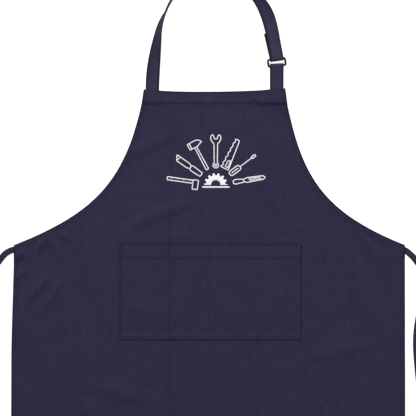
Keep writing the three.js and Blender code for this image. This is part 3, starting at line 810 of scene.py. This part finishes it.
def pocket_levels(column, row):
    x, y = pocket_columns[column], pocket_rows[row]
    from_side = min(x - POCKET_LEFT, POCKET_RIGHT - x)
    from_bottom, from_top = y - POCKET_BOTTOM, POCKET_TOP - y
    from_split = abs(x - POCKET_SPLIT)
    rim = min(from_side, from_bottom)
    swell = smooth((min(from_side, from_split) - 3 * MM) / (38 * MM))
    swell *= smooth(from_bottom / (70 * MM))
    wave = 0.75 + 0.5 * noise.noise(Vector((x / 0.06, y / 0.09, 6.0)))
    gape = POCKET_GAPE * swell * wave
    crease = crease_height(x, y) * smooth(min(from_split, rim) / (6 * MM))
    # Puckers along the seams and under the mouth's hem
    seam = 1 - smooth((rim - 7 * MM) / (12 * MM))
    pucker = 0.4 * MM * seam * (0.5 + ripple(x - y, 9 * MM, 11.0)) * smooth(rim / (7 * MM))
    split = 1 - smooth((from_split - 2 * MM) / (14 * MM))
    pucker += 0.35 * MM * split * (0.5 + ripple(y, 9 * MM, 12.0)) * smooth(from_split / (4 * MM))
    mouth = plateau(from_top - POCKET_HEM, 1 * MM, 22 * MM if from_top > POCKET_HEM else 14 * MM)
    pucker += 0.5 * MM * mouth * (0.5 + ripple(x, 12 * MM, 13.0)) * smooth(from_side / (10 * MM))
    drift = 0.5 * MM * swell * (0.5 + noise.noise(Vector((x / 0.03, y / 0.045, 2.0))))
    rise = HEM_RISE * max(
        0.5 * plateau(rim, POCKET_EDGE_HEM - 0.5 * MM, 1 * MM),
        plateau(from_top, POCKET_HEM - 0.5 * MM, 1 * MM),
    )
    grooves = max(
        *[stitch_groove(rim - inset) for inset in POCKET_STITCHES],
        stitch_groove(from_split - SPLIT_STITCHES),
        stitch_groove(from_top - POCKET_HEM + STITCH_INSET),
    )
    thick = CLOTH + rise - grooves
    over = fold_over(min(rim, from_top))
    # Painted shade over the pocket's folded edges and in its stitch grooves, with patches of
    # painted shade at the bar tacks
    tack = plateau(from_top - 6.5 * MM, 3 * MM, 3 * MM)
    tack *= plateau(min(from_side - 1 * MM, from_split), 0.5 * MM, 2 * MM)
    shade = max(painted_shade(min(rim, from_top), grooves, 0.22, 0.6), 0.9 * tack)
    seam_share = max(seam, split, mouth) * 0.35
    base = PATCH_SEAT + gape + crease + max(0.0, pucker) + drift
    y -= 1.3 * MM * swell * clamp(1 - from_top / (60 * MM))
    y += 0.6 * MM * ripple(x, 40 * MM, 14.0) * clamp(1 - from_top / (30 * MM))
    x += 0.35 * MM * ripple(y, 30 * MM, 15.0) * clamp(1 - from_side / (20 * MM))
    return (x, y, base + thick * over), (x, y, base + thick * (1 - over)), shade, seam_share


pocket = closed_sheet(
    "pocket", len(pocket_columns), len(pocket_rows), pocket_levels, panel_twill
)
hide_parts("pocket_patch")


# Stitching of the panel and the pocket
# Lockstitch in navy thread of the tone of the cloth, 3.2 mm to the stitch, with
# boxes where straps and ties are held and bar tacks at the corners of the pocket's mouth.
STITCH_PITCH = 3.2 * MM
STITCH_LENGTH = 2.5 * MM
THREAD = 0.52 * MM
TACK_WIDTH = 6 * MM
TACK_ROWS = 9

thread_finish = Finish("navy_thread", 0.6, Specular_IOR_Level=0.3)
thread_tone = thread_finish.noise(thread_finish.place(), 1.5 * MM, 1.0)
thread_finish.feed(
    "Base Color",
    thread_finish.blend(thread_tone, (0.018, 0.016, 0.040, 1), (0.038, 0.036, 0.078, 1)),
)

# One stitch of unit size that lies along x
stitch_shape = bmesh.new()
bmesh.ops.create_uvsphere(
    stitch_shape, u_segments=6, v_segments=4, radius=1,
    matrix=Matrix.Rotation(math.pi / 2, 4, "Y"),
)
stitch = bpy.data.meshes.new("stitch")
stitch_shape.to_mesh(stitch)
stitch_shape.free()


def sew(shape, line, pitch=STITCH_PITCH, length=STITCH_LENGTH):
    """Stitches along points, each given with the way its cloth faces."""
    travelled, due = 0.0, pitch / 2
    scale = Matrix.Diagonal((length / 2, THREAD / 2, THREAD / 2, 1))
    for (before, _), (after, face) in zip(line, line[1:]):
        span = (after - before).length
        while span and due <= travelled + span:
            point = before.lerp(after, (due - travelled) / span)
            along = (after - before).normalized()
            across = face.cross(along).normalized()
            turn = Matrix((along, across, along.cross(across))).transposed().to_4x4()
            made = stitch.copy()
            made.transform(Matrix.Translation(point) @ turn @ scale)
            shape.from_mesh(made)
            bpy.data.meshes.remove(made)
            due += pitch
        travelled += span


def on_cloth(tree, points, step=1.5 * MM):
    """A flat line of stitches laid on a piece."""
    line = resampled([Vector(point) for point in points], step)
    return [laid_on(tree, point.x, point.y) for point in line]


def box_of_stitches(x, y, width, height):
    left, right, low, high = x - width / 2, x + width / 2, y - height / 2, y + height / 2
    return [
        [(left, low), (right, low), (right, high), (left, high), (left, low)],
        [(left, low), (right, high)],
        [(left, high), (right, low)],
    ]


seam_shape = bmesh.new()
for sign in (-1, 1):
    edge = []
    for (_, point, _), way in zip(side_rows, ways_in):
        flat = point + way * (SIDE_HEM - STITCH_INSET)
        edge.append(laid_out(sign * flat.x + bib_shift(flat.y), flat.y))
    sew(seam_shape, on_cloth(panel_tree, edge[2:-2]))
for y, half in (
    (ARMHOLE_DEPTH - BIB_HEM + STITCH_INSET, BIB_WIDTH / 2 + 1 * MM),
    (BOTTOM_HEM - STITCH_INSET - SKIRT_LENGTH, HALF_WAIST - 1 * MM),
):
    steps = [mix(-half, half, i / 60) + bib_shift(y) for i in range(61)]
    sew(seam_shape, on_cloth(panel_tree, [laid_out(x, y) for x in steps]))
strap_box_y = ARMHOLE_DEPTH - BIB_HEM / 2
boxes = [(x, strap_box_y, 20 * MM, 15 * MM) for x in (left_strap_x, right_strap_x)]
boxes += [(sign * (HALF_WAIST - 13 * MM), tie_y, 14 * MM, 8 * MM) for sign in (-1, 1)]
for box in boxes:
    for line in box_of_stitches(*box):
        sew(seam_shape, on_cloth(panel_tree, line))
finished("panel_stitching", seam_shape, thread_finish.material)

pocket_tree = BVHTree.FromObject(pocket, bpy.context.evaluated_depsgraph_get())
pocket_seams = []
for inset in POCKET_STITCHES:
    left, right, low = POCKET_LEFT + inset, POCKET_RIGHT - inset, POCKET_BOTTOM + inset
    high = POCKET_TOP - 1.5 * MM
    pocket_seams.append([(left, high), (left, low), (right, low), (right, high)])
for x in (POCKET_SPLIT - SPLIT_STITCHES, POCKET_SPLIT + SPLIT_STITCHES):
    pocket_seams.append([(x, POCKET_TOP - 2 * MM), (x, POCKET_BOTTOM + 6 * MM)])
mouth_y = POCKET_TOP - POCKET_HEM + STITCH_INSET
pocket_seams.append([(POCKET_LEFT + 7 * MM, mouth_y), (POCKET_RIGHT - 7 * MM, mouth_y)])
seam_shape = bmesh.new()
for line in pocket_seams:
    sew(seam_shape, on_cloth(pocket_tree, line))
for x in (POCKET_LEFT + 4 * MM, POCKET_SPLIT, POCKET_RIGHT - 4 * MM):
    for i in range(TACK_ROWS):
        y = POCKET_TOP - (2.2 + i) * MM
        tack = [(x - TACK_WIDTH / 2, y), (x + TACK_WIDTH / 2, y - 0.4 * MM)]
        sew(seam_shape, on_cloth(pocket_tree, tack), TACK_WIDTH, TACK_WIDTH - 0.4 * MM)
finished("pocket_stitching", seam_shape, thread_finish.material)


# Neck strap
# A strip of twill folded to 26 mm and stitched along both edges. It is sewn under the left of
# the bib, stands on its edge round the neck, goes over the ring's upper bar and comes back
# underneath itself, where its end is sewn down.
NECK_RISE = 211 * MM
RETURN_LENGTH = 52 * MM
RING_WIDTH = 37 * MM
RING_HEIGHT = 17.2 * MM
RING_BAR = 4 * MM
RING_THICK = 3.2 * MM
RING_ABOVE_BIB = 52.5 * MM
RING_TILT = 6.5
STRAP_LEAN, RETURN_LEAN, FOLD_LEAN = 10, 13, 8
CROWN_FLAT = 20 * MM
LEFT_LEAN = 4.2 * MM
ROLL_START, ROLL_LENGTH, UNROLL_LENGTH = 13 * MM, 133 * MM, 120 * MM
ARCH_BASE = 105 * MM
ARCH_ROUND = 0.56
STRAP_SLOPE = 32 * MM
FOLD_STEPS = 14
STRAP_STEP = 2.4 * MM
RETURN_SEAMS = (64.5 * MM, 103 * MM, 106 * MM)
STRAP_STITCHES = 2.2 * MM
UP = Vector((0, 0, 1))

ring_turn = math.radians(RING_TILT)
ring_centre = Vector((right_strap_x, ARMHOLE_DEPTH + RING_ABOVE_BIB, 0))
bar_offset = (RING_HEIGHT - RING_BAR) / 2
fold_radius = math.hypot(RING_BAR / 2, RING_THICK / 4) + GAP
bar_height = STRAP_THICK + fold_radius


def leaning(angle):
    return Vector((-math.sin(math.radians(angle)), math.cos(math.radians(angle)), 0))


def bar_line(x, side):
    """The height on the table of the ring's upper (1) or lower (-1) bar at a place across."""
    middle = ring_centre + bar_offset * side * leaning(RING_TILT)
    return middle.y + (x - middle.x) * math.tan(ring_turn)


def outward_of(angle):
    return Vector((math.cos(math.radians(angle)), math.sin(math.radians(angle)), 0))


def rolled(foot, outward, roll, height):
    """One edge of a strap, the way across it and the way it faces, when roll lifts the
    other edge off the table."""
    return (
        Vector((foot.x, foot.y, height)),
        outward * math.cos(roll) + UP * math.sin(roll),
        UP * math.cos(roll) - outward * math.sin(roll),
    )


def folded(centre, ahead, across):
    """The strap's stations round a bar."""
    stations = []
    for i in range(FOLD_STEPS + 1):
        angle = math.pi * (0.5 - i / FOLD_STEPS)
        face = ahead * math.cos(angle) + UP * math.sin(angle)
        stations.append((centre + face * fold_radius, across, face))
    return stations


def traced(ends, step):
    """Points of a cubic curve about a step apart, with the way it runs at each."""
    count = max(2, math.ceil((ends[3] - ends[0]).length * 1.1 / step))
    points = []
    for i in range(count + 1):
        share = i / count
        near = curve_point(ends, max(0, share - 0.01)), curve_point(ends, min(1, share + 0.01))
        points.append((curve_point(ends, share), (near[1] - near[0]).normalized()))
    return points


def straight(first, last):
    return (first, first.lerp(last, 1 / 3), first.lerp(last, 2 / 3), last)


def neck_strap_stations():
    left_foot = left_strap_x + STRAP_WIDTH / 2
    fold_across = outward_of(FOLD_LEAN)
    fold_right = right_strap_x + STRAP_WIDTH / 2
    fold_foot = Vector((
        fold_right - STRAP_WIDTH * fold_across.x,
        bar_line(fold_right, 1) - STRAP_WIDTH * fold_across.y,
        0,
    ))
    arch_y, crown_y = ARMHOLE_DEPTH + ARCH_BASE, ARMHOLE_DEPTH + NECK_RISE
    climb = (arch_y - fold_foot.y) / math.cos(math.radians(STRAP_LEAN))
    bend_left = Vector((left_foot + LEFT_LEAN, arch_y, 0))
    bend_right = fold_foot + leaning(STRAP_LEAN) * climb
    crown_x = (bend_left.x + bend_right.x) / 2
    crown_left = Vector((crown_x - CROWN_FLAT / 2, crown_y, 0))
    crown_right = Vector((crown_x + CROWN_FLAT / 2, crown_y, 0))
    handle_up = (crown_y - arch_y) * ARCH_ROUND
    handle_across = (bend_right.x - bend_left.x - CROWN_FLAT) * 0.5 * ARCH_ROUND
    start = Vector((left_foot, ARMHOLE_DEPTH - STRAP_TUCK, 0))
    free = Vector((left_foot, ARMHOLE_DEPTH, 0))
    third = (arch_y - ARMHOLE_DEPTH) / 3
    route = []
    for ends in (
        straight(start, free),
        (free, free + Vector((LEFT_LEAN * 0.2, third, 0)),
         bend_left - Vector((LEFT_LEAN * 0.2, third, 0)), bend_left),
        (bend_left, bend_left + Vector((LEFT_LEAN * 0.4, handle_up, 0)),
         crown_left - Vector((handle_across, 0, 0)), crown_left),
        straight(crown_left, crown_right),
        (crown_right, crown_right + Vector((handle_across, 0, 0)),
         bend_right + leaning(STRAP_LEAN) * handle_up, bend_right),
        straight(bend_right, fold_foot),
    ):
        route += traced(ends, STRAP_STEP)[1 if route else 0:]
    lengths = [0.0]
    for (before, _), (after, _) in zip(route, route[1:]):
        lengths.append(lengths[-1] + (after - before).length)
    total = lengths[-1]
    stations = []
    for (point, way), along in zip(route, lengths):
        roll = math.pi / 2 * clamp((along - STRAP_TUCK - ROLL_START) / ROLL_LENGTH)
        roll *= smooth((total - climb - 4 * MM - along) / UNROLL_LENGTH)
        over_return = smooth((along - total + RETURN_LENGTH + 16 * MM) / (12 * MM)) * layer_height
        over_bar = 1 - smooth((total - along) / STRAP_SLOPE)
        height = mix(over_return, STRAP_THICK + 2 * fold_radius, over_bar)
        outward = Vector((-way.y, way.x, 0)).lerp(fold_across, over_bar).normalized()
        stations.append(rolled(point, outward, roll, height))
    centre = Vector((fold_foot.x, fold_foot.y, bar_height))
    stations += folded(centre, -leaning(FOLD_LEAN), fold_across)[1:]
    for along in even(0, RETURN_LENGTH, STRAP_STEP):
        foot = fold_foot + leaning(RETURN_LEAN) * along
        across = fold_across.lerp(outward_of(RETURN_LEAN), clamp(along / (20 * MM))).normalized()
        stations.append((Vector((foot.x, foot.y, STRAP_THICK)), across, -UP))
    return stations


def strap_lines(width, step=3.4 * MM):
    rim = [0, 0.25 * MM, 0.8 * MM, 1.5 * MM, STRAP_STITCHES, 2.9 * MM]
    middle = even(rim[-1], width - rim[-1], step)[:-1]
    return [*rim, *middle, *[width - line for line in reversed(rim)]]


def strap(name, stations, width, seed, inner_reach=2.6 * MM):
    """A folded and stitched strap that follows stations, with rounded edges and ends."""
    along = [0.0]
    for (before, _, _), (after, _, _) in zip(stations, stations[1:]):
        along.append(along[-1] + (after - before).length)
    lines = strap_lines(width)

    def levels(column, row):
        edge, across, face = stations[column]
        place = lines[row]
        inside = min(place, width - place)
        from_end = min(along[column], along[-1] - along[column])
        groove = stitch_groove(inside - STRAP_STITCHES)
        waves = 0.5 + ripple(along[column], 7 * MM, seed)
        slow_waves = 0.5 + ripple(along[column] + 3 * place, 18 * MM, seed + 3)
        full = STRAP_THICK - 0.6 * groove - 0.12 * MM * waves * plateau(inside, 3 * MM, 3 * MM)
        full -= 0.1 * MM * slow_waves
        over = fold_over(min(inside, from_end + 0.05 * MM))
        point = edge + across * place
        # Painted shade over the strap's rounded edges and ends and in its stitch grooves, wider
        # along the edge at place 0 by inner_reach
        shade = painted_shade(
            min(inside, from_end), groove, reach=inner_reach if place < width / 2 else 2.6 * MM
        )
        return point + face * full * over, point + face * full * (1 - over), shade, 0.35

    return closed_sheet(
        name, len(stations), len(lines), levels, strap_twill,
        lambda column, row: (lines[row], along[column]),
    )


def strap_seam(shape, stations, place, first=0, last=None):
    """A line of stitches along a strap, on its outer face."""
    sew(shape, [
        (edge + across * place + face * (STRAP_THICK - 0.12 * MM), face)
        for edge, across, face in stations[first:last]
    ])


def cross_seam(shape, station, width, inset=2 * MM):
    """A line of stitches across a strap."""
    edge, across, face = station
    outside = edge + face * (STRAP_THICK - 0.05 * MM)
    ends = [outside + across * place for place in (inset, width - inset)]
    sew(shape, [(point, face) for point in resampled(ends, 1 * MM)])


strap_twill = twill("navy_strap_twill", (0.0225, 0.0205, 0.0460), (0.0420, 0.0390, 0.0790), False)
neck_stations = neck_strap_stations()
# A wide band of painted shade along the edge the neck strap stands on
neck_strap = strap("neck_loop", neck_stations, STRAP_WIDTH, 21.0, inner_reach=6 * MM)
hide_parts("neck_strap")


# Ring and its short strap
# A square ring of black moulded plastic joins the neck strap to the bib. A short doubled
# strap goes over its lower bar, with both ends sewn under the right of the bib hem.
RING_STRAP_SKEW = 2.5
RING_CORNER = 4.6 * MM
RING_SQUARENESS = 3.2
RING_PATH_STEPS, RING_SECTION_STEPS = 96, 16
RING_STRAP_SEAM = 40.6 * MM


def ring_strap_stations():
    right = right_strap_x + STRAP_WIDTH / 2
    fold_y = bar_line(right, -1)
    end = ARMHOLE_DEPTH - STRAP_TUCK
    across = Vector((-1, 0, 0))
    skewed = -outward_of(RING_STRAP_SKEW)
    rows = [end, *even(end, fold_y - 1 * MM, STRAP_STEP)]
    upper, lower = [], []
    for y in rows:
        rise = 1 - smooth((fold_y - y) / STRAP_SLOPE)
        way = across.lerp(skewed, rise).normalized()
        height = mix(layer_height, STRAP_THICK + 2 * fold_radius, rise)
        upper.append((Vector((right, y, height)), way, UP))
        lower.append((Vector((right, y, STRAP_THICK)), way, -UP))
    fold = folded(Vector((right, fold_y, bar_height)), Vector((0, 1, 0)), skewed)
    return upper + fold + lower[::-1], len(upper)


ring_strap_line, upper_count = ring_strap_stations()
ring_strap = strap("ring_loop", ring_strap_line, STRAP_WIDTH, 31.0)
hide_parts("ring_strap")


def rounded_rectangle(share, width, height, radius):
    """A point on a rounded rectangle, and the way out of it there."""
    flat_x, flat_y, bend = width - 2 * radius, height - 2 * radius, radius * math.pi / 2
    sides = [flat_x / 2, bend, flat_y, bend, flat_x, bend, flat_y, bend, flat_x / 2]
    left = share * sum(sides)
    place, heading = Vector((0, -height / 2)), 0.0
    for index, length in enumerate(sides):
        used = min(left, length)
        out = Vector((math.sin(heading), -math.cos(heading)))
        if index % 2:
            middle = place - out * radius
            heading += used / radius
            out = Vector((math.sin(heading), -math.cos(heading)))
            place = middle + out * radius
        else:
            place = place + Vector((-out.y, out.x)) * used
        left -= used
        if left <= 1e-9:
            break
    return place, out


ring_shape = bmesh.new()
made = bmesh.ops.create_grid(
    ring_shape, x_segments=RING_PATH_STEPS, y_segments=RING_SECTION_STEPS, size=0.5
)
for corner in made["verts"]:
    along, round_bar = corner.co.x + 0.5, (corner.co.y + 0.5) * 2 * math.pi
    place, out = rounded_rectangle(
        along, RING_WIDTH - RING_BAR, RING_HEIGHT - RING_BAR, RING_CORNER - RING_BAR / 2
    )
    cosine, sine = math.cos(round_bar), math.sin(round_bar)
    squared = abs(cosine) ** RING_SQUARENESS + abs(sine) ** RING_SQUARENESS
    squared **= -1 / RING_SQUARENESS
    flat = place + out * (RING_BAR / 2 * cosine * squared)
    corner.co = (flat.x, flat.y, RING_THICK / 2 * sine * squared)
bmesh.ops.remove_doubles(ring_shape, verts=ring_shape.verts, dist=WELD)
bmesh.ops.recalc_face_normals(ring_shape, faces=ring_shape.faces)
seat = Matrix.Translation((ring_centre.x, ring_centre.y, bar_height))
bmesh.ops.transform(
    ring_shape, matrix=seat @ Matrix.Rotation(ring_turn, 4, "Z"), verts=ring_shape.verts
)

plastic = Finish("black_plastic", 0.42, Specular_IOR_Level=0.22)
scuffs = plastic.noise(plastic.place(), 5 * MM, 4.0)
scuffed = plastic.blend(scuffs, (0.006, 0.006, 0.007, 1), (0.012, 0.012, 0.013, 1))
plastic.feed("Base Color", scuffed)
plastic.feed("Roughness", 0.34 + scuffs * 0.2)
plastic.bump(plastic.noise(plastic.place(), 0.7 * MM), 0.05 * MM)
ring = finished("square_ring", ring_shape, plastic.material)
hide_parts("strap_ring")


def nearest_station(stations, above_bib):
    """The station whose middle lies nearest a height above the bib."""
    y = ARMHOLE_DEPTH + above_bib
    return min(stations, key=lambda place: abs((place[0] + place[1] * STRAP_WIDTH / 2).y - y))


seam_shape = bmesh.new()
under_bib = math.ceil((STRAP_TUCK + 1 * MM) / STRAP_STEP)
for place in (STRAP_STITCHES, STRAP_WIDTH - STRAP_STITCHES):
    strap_seam(seam_shape, neck_stations, place, under_bib)
    strap_seam(seam_shape, ring_strap_line, place, under_bib, -under_bib)
ring_end = nearest_station(ring_strap_line[:upper_count], RING_STRAP_SEAM)
cross_seam(seam_shape, ring_end, STRAP_WIDTH)
right_half = neck_stations[len(neck_stations) // 2:-30]
for above_bib in RETURN_SEAMS:
    cross_seam(seam_shape, nearest_station(right_half, above_bib), STRAP_WIDTH)
finished("strap_stitching", seam_shape, thread_finish.material)


# Waist ties
# Two narrow ties of folded twill, sewn under the corners of the waist. They lie loose on the
# table, bend round and run down beside the skirt.
TIE_LENGTH = 700 * MM
TIE_REACH = 40 * MM
TIE_ROLL = 35
TIE_STEP = 3 * MM
# out: share of TIE_REACH beyond the panel's side; down: share of TIE_LENGTH below the waist
RIGHT_TIE = [
    (-0.56, 0.013), (-0.02, 0.014), (0.27, 0.026), (0.55, 0.043), (0.78, 0.064), (0.92, 0.092),
    (0.92, 0.124), (0.8, 0.162), (0.66, 0.2), (0.56, 0.24), (0.54, 0.275), (0.6, 0.33),
    (0.78, 0.43), (0.92, 0.55), (0.8, 0.7), (0.6, 0.85), (0.7, 1),
]
LEFT_TIE = [
    (-0.56, 0.013), (-0.02, 0.013), (0.33, 0.022), (0.63, 0.04), (0.87, 0.061), (1.02, 0.09),
    (1.06, 0.124), (1.02, 0.178), (0.93, 0.26), (0.88, 0.37), (0.98, 0.5), (1.04, 0.62),
    (0.9, 0.76), (0.72, 0.88), (0.76, 1),
]


def eased_route(points):
    """Points through a tie's route, with a centripetal curve between each two."""
    whole = [points[0] * 2 - points[1], *points, points[-1] * 2 - points[-2]]
    line = [points[0]]
    for a, b, c, d in zip(whole, whole[1:], whole[2:], whole[3:]):
        t1 = (b - a).length ** 0.5
        t2 = t1 + (c - b).length ** 0.5
        t3 = t2 + (d - c).length ** 0.5
        for i in range(1, 25):
            t = mix(t1, t2, i / 24)
            ab, bc = a.lerp(b, t / t1), b.lerp(c, (t - t1) / (t2 - t1))
            cd = c.lerp(d, (t - t2) / (t3 - t2))
            abc, bcd = ab.lerp(bc, t / t2), bc.lerp(cd, (t - t1) / (t3 - t1))
            line.append(abc.lerp(bcd, (t - t1) / (t2 - t1)))
    return line


def tie_stations(route, hand):
    points = [Vector((HALF_WAIST + out * TIE_REACH, -down * TIE_LENGTH, 0)) for out, down in route]
    line = eased_route(points)
    lengths = [0.0]
    for before, after in zip(line, line[1:]):
        lengths.append(lengths[-1] + (after - before).length)
    stations, index = [], 0
    for along in [0.0, *even(0, TIE_LENGTH, TIE_STEP)]:
        while index < len(line) - 2 and lengths[index + 1] < along:
            index += 1
        share = (along - lengths[index]) / (lengths[index + 1] - lengths[index])
        middle = line[index].lerp(line[index + 1], share)
        way = (line[min(index + 3, len(line) - 1)] - line[max(index - 2, 0)]).normalized()
        outward = Vector((-way.y, way.x, 0))
        lifted = plateau(along - 0.13 * TIE_LENGTH, 0.03 * TIE_LENGTH, 0.06 * TIE_LENGTH)
        sway = 0.12 * ripple(along, 70 * MM, 40 + hand) * smooth((along - 60 * MM) / (60 * MM))
        roll = math.radians(TIE_ROLL) * lifted + max(0.0, sway)
        stations.append(rolled(middle - outward * TIE_WIDTH / 2, outward, roll, 0))
    if hand > 0:
        return stations
    mirror = Matrix.Diagonal((-1, 1, 1))
    return [
        (mirror @ (edge + across * TIE_WIDTH), -(mirror @ across), mirror @ face)
        for edge, across, face in stations
    ]


for name, node, route, hand in (
    ("tie_left", "waist_tie_left", LEFT_TIE, -1),
    ("tie_right", "waist_tie_right", RIGHT_TIE, 1),
):
    stations = tie_stations(route, hand)
    tie = strap(name, stations, TIE_WIDTH, 50.0 + hand)
    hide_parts(node)
    seam_shape = bmesh.new()
    covered = math.ceil((TIE_TUCK + 3 * MM) / TIE_STEP)
    place = STRAP_STITCHES if hand > 0 else TIE_WIDTH - STRAP_STITCHES
    strap_seam(seam_shape, stations, place, covered)
    for back in (3, 5):
        cross_seam(seam_shape, stations[-back], TIE_WIDTH, inset=1.5 * MM)
    finished(name + "_stitching", seam_shape, thread_finish.material)
